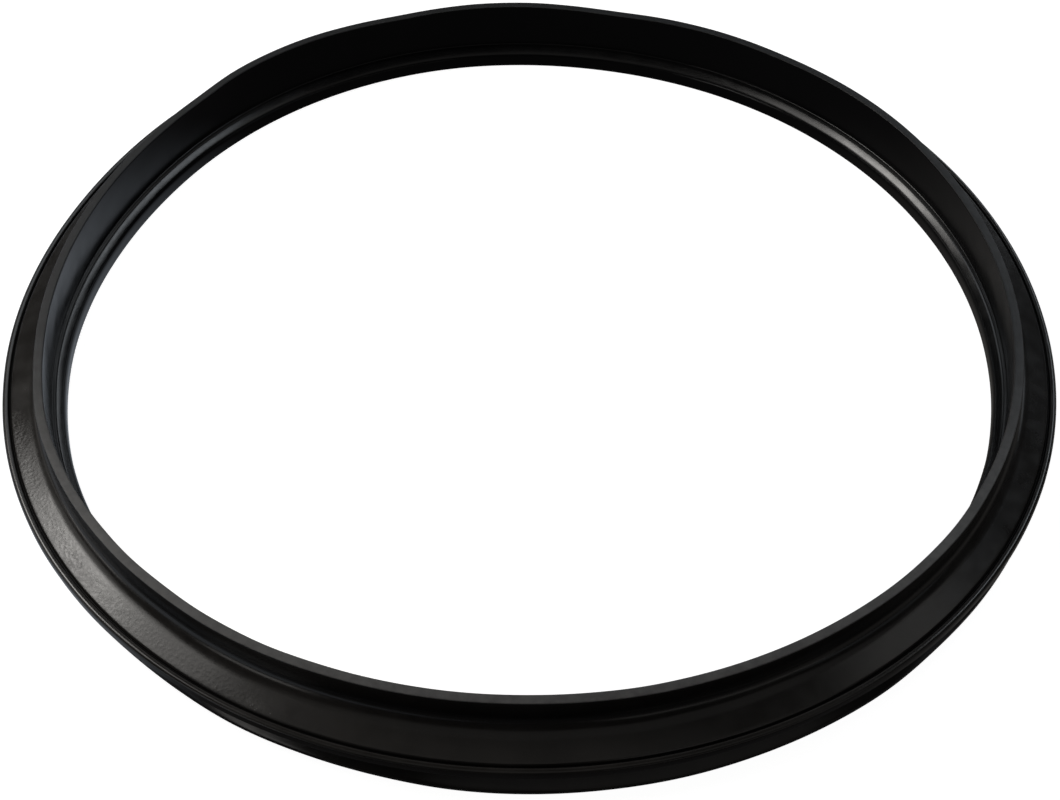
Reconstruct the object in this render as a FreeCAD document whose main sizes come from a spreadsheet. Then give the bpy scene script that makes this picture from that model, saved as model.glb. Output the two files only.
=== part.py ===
import FreeCAD, Part
import Sketcher
import os

# Sealing ring (lid gasket) of a 22 cm stovetop pressure cooker.
#
# One continuous ring of moulded rubber. It stands on the flat underside of its
# base, with +Z up and the origin on the ring's axis in the plane of that face.
# Everything is one revolved cross-section:
#   heel        the thick inner edge, which carries the bore; its rounded top
#               slopes up to the root of the upper lip
#   upper lip   the thin upright lip that presses on the lid's ceiling
#   flange      the broad face that slopes from the lip's foot out to the bead
#   bead        the small round rib at the largest diameter, with a fine groove
#   lower lip   the thin lip that flares out under the bead, past a recess
# Lengths are in millimetres.

doc = FreeCAD.newDocument("sealing_ring")

# ---------------------------------------------------------------- dimensions
sheet = doc.addObject("Spreadsheet::Sheet", "Dims")
DIMENSIONS = [
    # name, value, meaning
    ("bore_radius", 107.4, "inner land of the heel"),
    ("heel_height", 3.5, "height of the bore where the heel's sloping top meets it"),
    ("heel_low_round", 0.5, "rounding under the bore land"),
    ("heel_high_round", 1.8, "rounding over the bore land"),
    ("crest_radius", 109.4, "where the heel's slope eases towards the root"),
    ("crest_height", 5.05, "height of the heel there"),
    ("crest_round", 1.8, "rounding of that crest"),
    ("root_radius", 110.3, "concave corner between heel and upper lip"),
    ("root_height", 5.25, "height of that corner"),
    ("root_round", 0.3, "rounding in that corner"),
    ("lip_inner_radius", 110.1, "inner top edge of the upper lip"),
    ("lip_height", 17.5, "overall height of the ring"),
    ("lip_outer_radius", 112.3, "outer top edge of the upper lip"),
    ("lip_outer_drop", 0.15, "fall of the lip's edge face towards the outside"),
    ("lip_edge_round", 0.25, "rounding of the lip's two top edges"),
    ("foot_radius", 111.6, "foot of the upper lip on the flange"),
    ("foot_height", 10.6, "height of the foot"),
    ("foot_round", 3.5, "broad concave sweep from the lip into the flange"),
    ("flange_radius", 118.85, "outer edge of the flange face"),
    ("flange_height", 8.15, "height of the flange at that edge"),
    ("groove_radius", 119.3, "bottom of the fine groove"),
    ("groove_height", 7.3, "height of the groove's bottom"),
    ("bead_inner_radius", 119.7, "inner top edge of the bead"),
    ("bead_radius", 121.0, "outer land of the bead, the seat in the lid"),
    ("bead_top", 7.95, "top of the bead"),
    ("bead_bottom", 5.9, "underside of the bead"),
    ("bead_high_round", 0.75, "rounding over the bead's land"),
    ("bead_low_round", 0.5, "rounding under the bead's land"),
    ("recess_radius", 117.2, "bottom of the recess under the bead"),
    ("recess_height", 3.6, "height of the recess's bottom"),
    ("recess_round", 0.8, "rounding in the recess"),
    ("low_lip_radius", 119.9, "outer edge of the lower lip"),
    ("low_lip_edge", 0.9, "thickness of the lower lip at its edge"),
    ("low_lip_round", 0.3, "rounding of the lower lip's upper edge"),
]
for row, (name, value, meaning) in enumerate(DIMENSIONS, start=1):
    sheet.set("A%d" % row, name)
    sheet.set("B%d" % row, str(value))
    sheet.setAlias("B%d" % row, name)
    sheet.set("C%d" % row, meaning)
doc.recompute()
dim = {name: float(sheet.get(name)) for name, _, _ in DIMENSIONS}

# ------------------------------------------------------------ cross-section
body = doc.addObject("PartDesign::Body", "SealingRing")
body.Label = "sealing_ring"
xz_plane = [o for o in body.Origin.OriginFeatures if o.Role == "XZ_Plane"][0]

section = body.newObject("Sketcher::SketchObject", "Section")
section.AttachmentSupport = [(xz_plane, "")]
section.MapMode = "FlatFace"

# corners of the section, anticlockwise from the heel's inner bottom corner:
# (name, radius, height), each an expression on the sheet, or None for zero
CORNERS = [
    ("heel_low", "bore_radius", None),
    ("low_lip_low", "low_lip_radius", None),
    ("low_lip_high", "low_lip_radius", "low_lip_edge"),
    ("recess", "recess_radius", "recess_height"),
    ("bead_under", "bead_radius", "bead_bottom"),
    ("bead_over", "bead_radius", "bead_top"),
    ("bead_inner", "bead_inner_radius", "bead_top"),
    ("groove", "groove_radius", "groove_height"),
    ("flange", "flange_radius", "flange_height"),
    ("foot", "foot_radius", "foot_height"),
    ("lip_outer", "lip_outer_radius", "lip_height - Dims.lip_outer_drop"),
    ("lip_inner", "lip_inner_radius", "lip_height"),
    ("root", "root_radius", "root_height"),
    ("crest", "crest_radius", "crest_height"),
    ("heel_high", "bore_radius", "heel_height"),
]


def value_of(expression):
    if expression is None:
        return 0.0
    terms = [t.strip().replace("Dims.", "") for t in expression.split("-")]
    return dim[terms[0]] - sum(dim[t] for t in terms[1:])


points = {n: (value_of(r), value_of(z)) for n, r, z in CORNERS}
count = len(CORNERS)

for i in range(count):
    a = points[CORNERS[i][0]]
    b = points[CORNERS[(i + 1) % count][0]]
    section.addGeometry(
        Part.LineSegment(FreeCAD.Vector(a[0], a[1], 0), FreeCAD.Vector(b[0], b[1], 0)),
        False,
    )
for i in range(count):
    section.addConstraint(Sketcher.Constraint("Coincident", i, 2, (i + 1) % count, 1))
for i, (name, radius, height) in enumerate(CORNERS):
    k = section.addConstraint(
        Sketcher.Constraint("DistanceX", -1, 1, i, 1, points[name][0])
    )
    section.renameConstraint(k, name + "_r")
    section.setExpression("Constraints." + name + "_r", "Dims." + radius)
    if height is None:
        section.addConstraint(Sketcher.Constraint("PointOnObject", i, 1, -1))
    else:
        k = section.addConstraint(
            Sketcher.Constraint("DistanceY", -1, 1, i, 1, points[name][1])
        )
        section.renameConstraint(k, name + "_z")
        section.setExpression("Constraints." + name + "_z", "Dims." + height)
doc.recompute()

# ---------------------------------------------------------------- the ring
ring = body.newObject("PartDesign::Revolution", "Ring")
ring.Profile = section
ring.ReferenceAxis = (section, ["V_Axis"])
ring.Angle = 360.0
section.Visibility = False
doc.recompute()


def edges_at(shape, corners):
    """Names of the circular edges that run round the ring at these corners."""
    found = []
    for corner in corners:
        r, z = points[corner]
        hits = []
        for n, edge in enumerate(shape.Edges, start=1):
            curve = edge.Curve
            if not isinstance(curve, Part.Circle):
                continue
            if abs(curve.Radius - r) < 0.01 and abs(curve.Center.z - z) < 0.01:
                if abs(abs(curve.Axis.z) - 1.0) < 1e-6:
                    hits.append("Edge%d" % n)
        if not hits:
            raise RuntimeError("no edge at corner " + corner)
        found += hits
    return found


# rounded corners, one feature per radius
ROUNDS = [
    ("HeelLowRound", "heel_low_round", ["heel_low"]),
    ("HeelHighRound", "heel_high_round", ["heel_high"]),
    ("CrestRound", "crest_round", ["crest"]),
    ("RootRound", "root_round", ["root"]),
    ("FootRound", "foot_round", ["foot"]),
    ("LipEdgeRound", "lip_edge_round", ["lip_outer", "lip_inner"]),
    ("BeadHighRound", "bead_high_round", ["bead_over"]),
    ("BeadLowRound", "bead_low_round", ["bead_under"]),
    ("RecessRound", "recess_round", ["recess"]),
    ("LowLipRound", "low_lip_round", ["low_lip_high"]),
]
last = ring
for feature, radius, corners in ROUNDS:
    fillet = body.newObject("PartDesign::Fillet", feature)
    fillet.Base = (last, edges_at(last.Shape, corners))
    fillet.Radius = dim[radius]
    fillet.setExpression("Radius", "Dims." + radius)
    doc.recompute()
    if fillet.Shape.isNull() or not fillet.Shape.isValid():
        raise RuntimeError(feature + " failed")
    last = fillet
body.Tip = last
body.Placement = FreeCAD.Placement()
doc.recompute()

# ------------------------------------------------------------------ checks
for obj in doc.Objects:
    if "Invalid" in obj.State or "Error" in obj.State:
        raise RuntimeError(obj.Name + " is in state " + str(obj.State))
pieces = [body]
for piece in pieces:
    shape = piece.Shape
    if shape.isNull() or not shape.isValid() or len(shape.Solids) != 1:
        raise RuntimeError(piece.Label + " is not one valid solid")
    box = shape.BoundBox
    centre = shape.Solids[0].CenterOfMass
    print(
        "%s: volume %.1f mm3, box %.2f x %.2f x %.2f, z %.2f to %.2f, centroid %.4f %.4f %.4f"
        % (
            piece.Label, shape.Volume, box.XLength, box.YLength, box.ZLength,
            box.ZMin, box.ZMax,
            centre.x, centre.y, centre.z,
        )
    )
    for face in shape.Faces:
        if isinstance(face.Surface, Part.Cylinder):
            print(
                "  cylindrical land: radius %.3f, z %.3f to %.3f"
                % (face.Surface.Radius, face.BoundBox.ZMin, face.BoundBox.ZMax)
            )

# ------------------------------------------------------------------ export
os.makedirs("parts", exist_ok=True)
for piece in pieces:
    piece.Shape.exportStep("parts/" + piece.Label + ".step")
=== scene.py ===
import math

import bpy
import numpy as np
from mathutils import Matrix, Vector


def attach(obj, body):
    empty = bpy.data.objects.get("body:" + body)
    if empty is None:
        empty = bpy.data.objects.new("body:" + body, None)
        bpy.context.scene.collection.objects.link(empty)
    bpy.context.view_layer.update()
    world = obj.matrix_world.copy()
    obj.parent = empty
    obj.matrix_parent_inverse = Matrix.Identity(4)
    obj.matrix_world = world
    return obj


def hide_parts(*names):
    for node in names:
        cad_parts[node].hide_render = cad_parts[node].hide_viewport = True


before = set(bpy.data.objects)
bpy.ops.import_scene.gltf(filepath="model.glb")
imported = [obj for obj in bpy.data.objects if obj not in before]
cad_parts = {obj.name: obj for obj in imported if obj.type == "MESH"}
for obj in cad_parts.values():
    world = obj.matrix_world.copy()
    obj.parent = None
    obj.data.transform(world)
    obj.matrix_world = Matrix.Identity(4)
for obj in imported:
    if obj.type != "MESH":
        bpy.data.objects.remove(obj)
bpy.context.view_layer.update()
MM = 0.001
scene = bpy.context.scene

# ------------------------------------------------------------------ camera
PITCH = math.radians(47.352)
RISE = math.radians(46.220)
AWAY = 0.51696
camera_data = bpy.data.cameras.new("studio_camera")
camera_data.sensor_fit = "HORIZONTAL"
camera_data.sensor_width = 36.0
camera_data.lens = 36.0 * 2200.0 / 1060.0
camera_data.clip_start = 0.01
camera_data.clip_end = 50.0
camera = bpy.data.objects.new("studio_camera", camera_data)
camera.location = (0.000216, -AWAY * math.cos(RISE), AWAY * math.sin(RISE))
camera.rotation_euler = (math.pi / 2 - PITCH, 0.0, 0.0)
scene.collection.objects.link(camera)
scene.camera = camera
scene.view_settings.view_transform = "Standard"

# ----------------------------------------------------------- cross-section
# corners of the moulded section (radius, height) and the radius of each, in
# millimetres, the same as the CAD's, anticlockwise from the heel's low corner
CORNERS = [
    ("heel_low", 107.4, 0.0, 0.5),
    ("low_lip_low", 119.9, 0.0, 0.12),
    ("low_lip_high", 119.9, 0.9, 0.3),
    ("recess", 117.2, 3.6, 0.8),
    ("bead_under", 121.0, 5.9, 0.5),
    ("bead_over", 121.0, 7.95, 0.75),
    ("bead_inner", 119.7, 7.95, 0.25),
    ("groove", 119.3, 7.3, 0.14),
    ("flange", 118.85, 8.15, 0.2),
    ("foot", 111.6, 10.6, 3.5),
    ("lip_outer", 112.3, 17.35, 0.25),
    ("lip_inner", 110.1, 17.5, 0.25),
    ("root", 110.3, 5.25, 0.3),
    ("crest", 109.4, 5.05, 1.8),
    ("heel_high", 107.4, 3.5, 1.8),
]


def rounded_section(step):
    """The section as a closed run of points, each with the corner or side it is on."""
    n = len(CORNERS)
    p = np.array([(c[1], c[2]) for c in CORNERS])
    arcs = []
    for i in range(n):
        a, o, b, r = p[i - 1], p[i], p[(i + 1) % n], CORNERS[i][3]
        u = (a - o) / np.linalg.norm(a - o)
        v = (b - o) / np.linalg.norm(b - o)
        angle = math.acos(float(np.clip(u @ v, -1, 1)))
        back = r / math.tan(angle / 2)
        s, e = o + u * back, o + v * back
        c = o + (u + v) / np.linalg.norm(u + v) * (r / math.sin(angle / 2))
        a0 = math.atan2(*(s - c)[::-1])
        a1 = math.atan2(*(e - c)[::-1])
        turn = (a1 - a0 + math.pi) % (2 * math.pi) - math.pi
        k = max(4, int(math.ceil(abs(turn) / math.radians(13))) + 1)
        arcs.append(
            [
                c + r * np.array([math.cos(a0 + turn * j / (k - 1)), math.sin(a0 + turn * j / (k - 1))])
                for j in range(k)
            ]
        )
    points, corner, along = [], [], []
    for i, arc in enumerate(arcs):
        for q in arc:
            points.append(q)
            corner.append(i)
            along.append(0.0)
        following = arcs[(i + 1) % n][0]
        length = np.linalg.norm(following - arc[-1])
        cells = max(1, int(round(length / step)))
        for j in range(1, cells):
            points.append(arc[-1] + (following - arc[-1]) * j / cells)
            corner.append(-1 - i)
            along.append(j / cells)
    return np.array(points), np.array(corner), np.array(along)


section, on_corner, on_side = rounded_section(0.5)
NAMES = [c[0] for c in CORNERS]
R0, Z0 = section[:, 0], section[:, 1]
gaps = np.linalg.norm(np.roll(section, -1, 0) - section, axis=1)
S0 = np.concatenate([[0.0], np.cumsum(gaps)[:-1]])
GIRTH = float(gaps.sum())

# ---------------------------------------------------------- the free shape
# A soft ring never lies perfectly round. These are the knots of its slow waves,
# in millimetres and evenly spaced from +X towards +Y: how far the whole section
# stands out, how far the upper lip leans out, how high the lip stands, and how
# far the lower lip is pressed out.
OUT = [-0.29, -0.49, -0.58, -0.57, -0.49, -0.34, -0.21, -0.10, 0.07, 0.47, 0.88, 0.94,
       0.69, 0.18, -0.51, -1.19, -1.37, -1.07, -0.57, -0.12, 0.41, 0.66, 0.60, 0.41,
       0.26, -0.06, -0.39, -0.55, -0.54, -0.40, -0.13, 0.15, 0.32, 0.45, 0.37, 0.03]
LEAN = [-0.05, -0.03, -0.02, 0.03, 0.18, 0.46, 0.59, 0.51, 0.28, -0.05, -0.04, -0.11,
        -0.44, -0.91, -0.47, 0.06, 0.09, -0.25, -0.57, 0.07, 0.67, 0.91, 0.69, -0.20,
        -0.24, -0.09, 0.00, 0.01, -0.01, -0.03, -0.01, 0.11, 0.38, 0.72, 0.55, 0.42,
        0.19, 0.04, -0.23, -0.33, -0.55, -0.82, -0.98, -1.01, -1.08, -1.09, -0.97, -0.79,
        -0.76, -0.67, -0.55, -0.41, -0.16, 0.02, 0.17, 0.05, 0.02, 0.01, -0.06, -0.09]
HIGH = [0.08, 0.04, -0.01, -0.02, -0.01, 0.03, 0.08, 0.14, 0.19, 0.20, 0.18, 0.14]
SPLAY = [0.0] * 24 + [0.01, 0.04, 0.06, 0.05, -0.09, -0.53, -0.99, -0.89, -0.47, -0.33, 0.0,
         0.55, 0.74, 0.76, 0.79, 0.62, 0.49, 0.38, -0.10, -0.04, -0.01, 0.01, 0.01, 0.01]


def wave(knots, angle):
    """A smooth closed curve through the knots."""
    k = np.array(knots)
    m = len(k)
    u = (angle / (2 * math.pi) % 1.0) * m
    i = np.floor(u).astype(int)
    f = u - i
    a, b, c, d = (k[(i + j) % m] for j in (-1, 0, 1, 2))
    return b + 0.5 * f * (c - a + f * (2 * a - 5 * b + 4 * c - d + f * (3 * (b - c) + d - a)))


def smooth(x, low, high):
    t = np.clip((x - low) / (high - low), 0.0, 1.0)
    return t * t * (3 - 2 * t)


on_upper_lip = np.where(
    R0 < 110.75,
    (Z0 > 5.6) * 1.0,
    (Z0 > 8.0) * smooth(R0, 118.2, 112.2),
)
lean_share = on_upper_lip * np.clip((Z0 - 5.6) / 11.9, 0, 1) ** 1.6
splay_share = np.where(Z0 < 3.3, np.clip((R0 - 117.2) / 2.7, 0, 1) ** 1.4, 0.0)

AROUND = 536
phi = np.arange(AROUND) * (2 * math.pi / AROUND)
count = len(section)

# the mould's own slight unevenness, a few hundredths of a millimetre deep
rng = np.random.default_rng(71)


def ripple(rows, orders, depth):
    """Small smooth unevenness over the section (rows) and round the ring."""
    total = np.zeros((AROUND, count))
    s = S0 / GIRTH * 2 * math.pi
    for _ in range(orders):
        k = rng.integers(6, 46)
        q = rng.integers(1, rows)
        a, b = rng.uniform(0, 2 * math.pi, 2)
        total += rng.normal() * np.cos(k * phi + a)[:, None] * np.cos(q * s + b)[None, :]
    return total * depth / math.sqrt(orders / 4)


uneven = ripple(9, 60, 0.016)

r = R0[None, :] + wave(OUT, phi)[:, None] + wave(LEAN, phi)[:, None] * lean_share + wave(SPLAY, phi)[:, None] * splay_share
z = Z0[None, :] + wave(HIGH, phi)[:, None] * lean_share

# outward direction of the section at each point, for the unevenness
ahead, behind = np.roll(section, -1, 0), np.roll(section, 1, 0)
t = ahead - behind
t /= np.linalg.norm(t, axis=1)[:, None]
n_r, n_z = t[:, 1], -t[:, 0]
free = smooth(Z0, 0.05, 0.9)
r = r + uneven * n_r * free
z = z + uneven * n_z * free

x = r * np.cos(phi)[:, None]
y = r * np.sin(phi)[:, None]
co = np.stack([x, y, z], -1).reshape(-1, 3) * MM
index = np.arange(AROUND * count).reshape(AROUND, count)
a, b = index, np.roll(index, -1, 0)
quads = np.stack([a, b, np.roll(b, -1, 1), np.roll(a, -1, 1)], -1).reshape(-1, 4)

mesh = bpy.data.meshes.new("moulded_ring")
mesh.from_pydata(co.tolist(), [], quads.tolist())
mesh.validate()
mesh.update()
for polygon in mesh.polygons:
    polygon.use_smooth = True

# what each place on the ring is, for its finish
on = lambda name: NAMES.index(name)


def spread(values):
    return np.repeat(np.asarray(values, float)[None, :], AROUND, 0).reshape(-1)


edge_face = np.where((Z0 > 17.2) & (R0 > 110.0) & (R0 < 112.4), 1.0, 0.0)
edge_face = np.clip(edge_face * smooth(Z0, 17.2, 17.33) , 0, 1)
flange = smooth(R0, 112.0, 113.2) * smooth(R0, 118.95, 118.7) * (Z0 > 8.0)
ATTRIBUTES = {
    "ring_edge": spread(edge_face),
    "ring_flange": spread(flange),
    "ring_out": spread(smooth(R0, 112.4, 118.6)),
    "ring_outside": spread(smooth(R0, 111.5, 112.6)),
    "ring_groove_shade": spread(np.exp(-(((R0 - 119.3) / 0.33) ** 2)) * (Z0 > 7.0) * (Z0 < 8.0)),
}
for name, values in ATTRIBUTES.items():
    layer = mesh.attributes.new(name, "FLOAT", "POINT")
    layer.data.foreach_set("value", values.astype(np.float32))
# distance along the section, and a circle for the way round, in millimetres
flow = np.stack(
    [
        spread(S0),
        np.repeat(110.0 * np.cos(phi), count),
        np.repeat(110.0 * np.sin(phi), count),
    ],
    -1,
)
layer = mesh.attributes.new("ring_flow", "FLOAT_VECTOR", "POINT")
layer.data.foreach_set("vector", flow.astype(np.float32).ravel())

ring = bpy.data.objects.new("sealing_ring_rubber", mesh)
scene.collection.objects.link(ring)
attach(ring, "root")
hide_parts("sealing_ring")


# ---------------------------------------------------------------- materials
class Tree:
    """Short names for the nodes of one material."""

    def __init__(self, name):
        self.material = bpy.data.materials.new(name)
        self.material.use_nodes = True
        self.nodes = self.material.node_tree.nodes
        self.links = self.material.node_tree.links
        self.nodes.clear()
        self.out = self.nodes.new("ShaderNodeOutputMaterial")
        self.shader = self.nodes.new("ShaderNodeBsdfPrincipled")
        self.links.new(self.shader.outputs[0], self.out.inputs[0])

    def put(self, socket, value):
        if isinstance(value, bpy.types.NodeSocket):
            self.links.new(value, socket)
        else:
            socket.default_value = value

    def attribute(self, name, output="Fac"):
        node = self.nodes.new("ShaderNodeAttribute")
        node.attribute_name = name
        return node.outputs[output]

    def math(self, operation, a, b=None, clamp=False):
        node = self.nodes.new("ShaderNodeMath")
        node.operation = operation
        node.use_clamp = clamp
        self.put(node.inputs[0], a)
        if b is not None:
            self.put(node.inputs[1], b)
        return node.outputs[0]

    def span(self, value, low, high, to_low=0.0, to_high=1.0):
        node = self.nodes.new("ShaderNodeMapRange")
        node.interpolation_type = "SMOOTHSTEP"
        self.put(node.inputs["Value"], value)
        for key, v in (("From Min", low), ("From Max", high), ("To Min", to_low), ("To Max", to_high)):
            node.inputs[key].default_value = v
        return node.outputs["Result"]

    def scaled(self, vector, by):
        node = self.nodes.new("ShaderNodeVectorMath")
        node.operation = "MULTIPLY"
        self.put(node.inputs[0], vector)
        node.inputs[1].default_value = by
        return node.outputs[0]

    def noise(self, vector, scale, detail=3.0, rough=0.55, distortion=0.0):
        node = self.nodes.new("ShaderNodeTexNoise")
        self.put(node.inputs["Vector"], vector)
        node.inputs["Scale"].default_value = scale
        node.inputs["Detail"].default_value = detail
        node.inputs["Roughness"].default_value = rough
        node.inputs["Distortion"].default_value = distortion
        return node.outputs["Fac"]

    def voronoi(self, vector, scale, feature="F1"):
        node = self.nodes.new("ShaderNodeTexVoronoi")
        node.feature = feature
        self.put(node.inputs["Vector"], vector)
        node.inputs["Scale"].default_value = scale
        return node.outputs["Distance"]

    def mix(self, factor, a, b):
        node = self.nodes.new("ShaderNodeMix")
        node.data_type = "RGBA"
        self.put(node.inputs[0], factor)
        self.put(node.inputs[6], a)
        self.put(node.inputs[7], b)
        return node.outputs[2]

    def bump(self, height, strength, distance, normal=None):
        node = self.nodes.new("ShaderNodeBump")
        self.put(node.inputs["Height"], height)
        self.put(node.inputs["Strength"], strength)
        node.inputs["Distance"].default_value = distance
        if normal is not None:
            self.put(node.inputs["Normal"], normal)
        return node.outputs["Normal"]


t = Tree("black_rubber")
place = t.nodes.new("ShaderNodeTexCoord").outputs["Object"]
flow = t.attribute("ring_flow", "Vector")
edge = t.attribute("ring_edge")
flange = t.attribute("ring_flange")
outer = t.attribute("ring_out")
outer_side = t.attribute("ring_outside")

# how strongly a place is scuffed and bloomed: wide patches, kept to the near-left flange where the key light falls
patches = t.span(t.noise(place, 22.0, 2.0, 0.5), 0.40, 0.66)
around = t.nodes.new("ShaderNodeVectorMath")
around.operation = "DOT_PRODUCT"
t.put(around.inputs[0], place)
around.inputs[1].default_value = (-0.777, -0.629, 0.0)
# the scuffs are kept to the near-left side, where the key light's highlight lies, so their paler speckle is partly
# painted sheen
key_lit_side = t.span(around.outputs["Value"], 0.101, 0.113, 0.04, 1.0)
wear_and_sheen = t.math("MULTIPLY", t.span(patches, 0.0, 1.0, 0.45, 1.0), key_lit_side)
wear_and_sheen = t.math("MULTIPLY", wear_and_sheen, flange)
wear_and_sheen = t.math("MULTIPLY", wear_and_sheen, t.span(outer, 0.0, 0.8, 0.25, 1.0))

# the grain of the mould: pebbles under a millimetre, and faint streaks round it
pebble = t.noise(place, 1500.0, 4.0, 0.6, 0.4)
cells = t.voronoi(place, 1100.0)
streak = t.noise(t.scaled(flow, (2.6, 0.05, 0.05)), 1.0, 3.0, 0.55)
fine = t.noise(place, 5200.0, 2.0, 0.5)
soft = t.noise(place, 160.0, 2.0, 0.5)

grain = t.math("ADD", t.math("MULTIPLY", pebble, 0.6), t.math("MULTIPLY", cells, 0.5))
normal = t.bump(soft, 0.10, 0.00010)
normal = t.bump(streak, 0.05, 0.00003, normal)
normal = t.bump(grain, t.span(wear_and_sheen, 0.0, 1.0, 0.03, 0.85), 0.00008, normal)
normal = t.bump(fine, 0.08, 0.00002, normal)
t.put(t.shader.inputs["Normal"], normal)

# colour: near black, a little browner where the rubber has bloomed; the paler speckle of the near-left scuffs is
# partly painted sheen
smooth_tone = (0.0032, 0.0032, 0.0034, 1)
matt = t.span(outer_side, 0.0, 1.0)
tint = t.mix(t.span(t.noise(place, 60.0, 3.0), 0.35, 0.7), (0.0170, 0.0155, 0.0140, 1), (0.0240, 0.0220, 0.0200, 1))
tint = t.mix(matt, smooth_tone, tint)
bloom_and_sheen = t.mix(t.math("MULTIPLY", wear_and_sheen, t.span(pebble, 0.40, 0.68)), tint, (0.036, 0.034, 0.032, 1))
# painted light and shade on the lip's edge: paler on the half towards the front, dark on the back half
edge_place = t.nodes.new("ShaderNodeSeparateXYZ")
t.links.new(place, edge_place.inputs[0])
edge_front_lit = t.span(edge_place.outputs[1], -0.075, -0.005, 1.0, 0.0)
edge_grain = t.span(t.noise(place, 420.0, 3.0, 0.6), 0.3, 0.7)
edge_painted_light = t.mix(edge_grain, (0.070, 0.068, 0.067, 1), (0.100, 0.098, 0.096, 1))
edge_painted_shade = t.mix(edge_grain, (0.006, 0.006, 0.006, 1), (0.010, 0.010, 0.011, 1))
edge_light_and_shade = t.mix(edge_front_lit, edge_painted_shade, edge_painted_light)
colour = t.mix(edge, bloom_and_sheen, edge_light_and_shade)
# painted shade: the fine groove beside the bead is coloured darker, as if little light reached it
colour = t.mix(t.attribute("ring_groove_shade"), colour, (0.0030, 0.0030, 0.0032, 1))
t.put(t.shader.inputs["Base Color"], colour)

ROUGH = (0.17, 0.24)
rough = t.span(t.noise(place, 240.0, 4.0, 0.6), 0.25, 0.75, *ROUGH)
rough = t.math("ADD", rough, t.math("MULTIPLY", wear_and_sheen, t.span(pebble, 0.35, 0.7, 0.0, 0.20)))
rough = t.math("ADD", rough, t.math("MULTIPLY", edge, 0.32), clamp=True)
t.put(t.shader.inputs["Roughness"], rough)
t.shader.inputs["IOR"].default_value = 1.50
# little light gets down into the fine groove beside the bead
t.put(t.shader.inputs["Specular IOR Level"], t.span(t.attribute("ring_groove_shade"), 0.1, 0.9, 0.5, 0.06))
mesh.materials.append(t.material)

# ------------------------------------------------------------ floor, lights
floor_mesh = bpy.data.meshes.new("table_top")
half = 3.0
floor_mesh.from_pydata(
    [(-half, -half, 0), (half, -half, 0), (half, half, 0), (-half, half, 0)], [], [(0, 1, 2, 3)]
)
floor = bpy.data.objects.new("table_top", floor_mesh)
scene.collection.objects.link(floor)
f = Tree("white_table")
f.shader.inputs["Base Color"].default_value = (0.40, 0.40, 0.40, 1)
f.shader.inputs["Roughness"].default_value = 0.9
f.shader.inputs["Specular IOR Level"].default_value = 0.1
f.shader.inputs["Emission Color"].default_value = (1, 1, 1, 1)
f.shader.inputs["Emission Strength"].default_value = 0.96
# The table is seen evenly white. To the ring it gives instead a painted glow: a dim bounce, with brighter bands
# painted to the left and right of the ring for its reflections.
f_path = f.nodes.new("ShaderNodeLightPath")
f_mix = f.nodes.new("ShaderNodeMixShader")
f_painted_glow = f.nodes.new("ShaderNodeEmission")
f_place = f.nodes.new("ShaderNodeTexCoord").outputs["Object"]
f_x = f.nodes.new("ShaderNodeSeparateXYZ")
f.links.new(f_place, f_x.inputs[0])
# painted light: brighter bands on the floor left and right of the ring, seen only in the ring's reflections and
# bounce
f_glow_left = f.span(f.math("MULTIPLY", f_x.outputs[0], -1.0), 0.068, 0.102)
f_glow_right = f.span(f_x.outputs[0], 0.060, 0.112)
f_glow_tone = f.mix(f_glow_right, (0.030, 0.029, 0.030, 1), (0.115, 0.110, 0.105, 1))
f.links.new(f.mix(f_glow_left, f_glow_tone, (0.33, 0.36, 0.40, 1)), f_painted_glow.inputs[0])
f.links.new(f_path.outputs["Is Camera Ray"], f_mix.inputs[0])
f.links.new(f_painted_glow.outputs[0], f_mix.inputs[1])
f.links.new(f.shader.outputs[0], f_mix.inputs[2])
f.links.new(f_mix.outputs[0], f.out.inputs[0])
floor_mesh.materials.append(f.material)


def soft_box(name, at, width, length, radiance, colour, turn=0.0, aimed=False):
    """A soft panel, level and facing down, or aimed at the ring."""
    data = bpy.data.lights.new(name, "AREA")
    data.shape = "RECTANGLE"
    data.size = width
    data.size_y = length
    data.energy = radiance * math.pi * width * length
    data.color = colour
    lamp = bpy.data.objects.new(name, data)
    lamp.location = at
    if aimed:
        lamp.rotation_euler = Vector(at).to_track_quat("Z", "Y").to_euler()
    else:
        lamp.rotation_euler = (0.0, 0.0, math.radians(turn))
    lamp.visible_camera = False
    scene.collection.objects.link(lamp)
    return lamp


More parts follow.
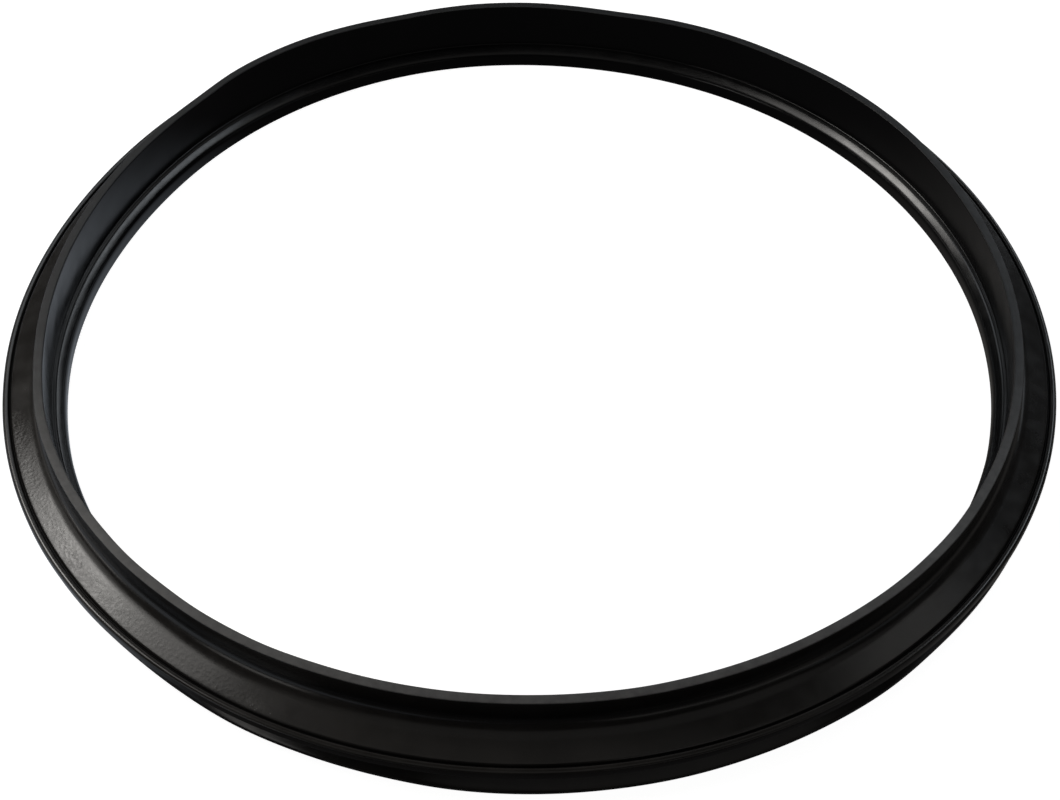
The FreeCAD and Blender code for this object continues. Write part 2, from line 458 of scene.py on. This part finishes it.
WARM = (1.0, 0.975, 0.94)
COOL = (0.88, 0.94, 1.0)
soft_box("left_key", (-0.422, 0.168, 0.45), 0.19, 0.22, 7.8, WARM, turn=18.0)
soft_box("left_key_wrap", (-0.440, 0.150, 0.46), 0.34, 0.46, 2.1, WARM, turn=10.0)
soft_box("left_wide", (-0.850, 0.100, 0.46), 0.60, 0.34, 0.65, WARM)
soft_box("left_back", (-0.280, 0.500, 0.46), 0.20, 0.30, 1.4, COOL)
soft_box("back_spot", (0.050, 0.480, 0.45), 0.09, 0.30, 0.9, COOL)
soft_box("back_top", (0.000, 0.290, 0.46), 0.36, 0.14, 0.35, WARM)
soft_box("right_strip", (0.390, 0.290, 0.45), 0.12, 0.42, 3.3, COOL, turn=-18.0)
soft_box("right_strip_mid", (0.468, 0.720, 0.45), 0.15, 0.46, 2.7, COOL, turn=-10.0)
soft_box("right_strip_end", (0.550, 1.200, 0.45), 0.26, 0.52, 2.1, COOL)
soft_box("right_top", (0.410, -0.010, 0.46), 0.24, 0.14, 0.5, WARM)
soft_box("front_fill", (0.150, -0.350, 0.46), 0.90, 0.46, 0.13, WARM)
soft_box("front_left", (-0.240, -0.200, 0.46), 0.14, 0.20, 0.6, WARM)
soft_box("back_low", (-0.985, 1.260, 0.10), 1.00, 0.18, 1.2, COOL, aimed=True)
soft_box("left_low", (-1.600, 0.000, 0.10), 0.56, 0.18, 1.5, WARM, aimed=True)
soft_box("left_far", (-1.500, 0.560, 0.32), 0.70, 0.24, 0.5, WARM, aimed=True)
soft_box("left_side", (-1.200, -1.000, 0.32), 0.55, 0.24, 1.4, WARM, aimed=True)
soft_box("right_side", (1.450, -0.650, 0.32), 0.90, 0.24, 0.20, COOL, aimed=True)
soft_box("right_low", (1.020, 1.130, 0.13), 1.30, 0.26, 0.60, COOL, aimed=True)
soft_box("front_low", (0.900, -1.300, 0.10), 1.20, 0.18, 0.35, WARM, aimed=True)

world = bpy.data.worlds.new("studio")
scene.world = world
world.use_nodes = True
wt = world.node_tree
wt.nodes.clear()
w_out = wt.nodes.new("ShaderNodeOutputWorld")
w_seen = wt.nodes.new("ShaderNodeBackground")
w_lit = wt.nodes.new("ShaderNodeBackground")
w_mix = wt.nodes.new("ShaderNodeMixShader")
w_path = wt.nodes.new("ShaderNodeLightPath")
w_seen.inputs[0].default_value = (0.93, 0.93, 0.93, 1)
w_lit.inputs[0].default_value = (0.012, 0.012, 0.013, 1)
wt.links.new(w_path.outputs["Is Camera Ray"], w_mix.inputs[0])
wt.links.new(w_lit.outputs[0], w_mix.inputs[1])
wt.links.new(w_seen.outputs[0], w_mix.inputs[2])
wt.links.new(w_mix.outputs[0], w_out.inputs[0])

# --------------------------------------------------------------------- update
bpy.context.view_layer.update()
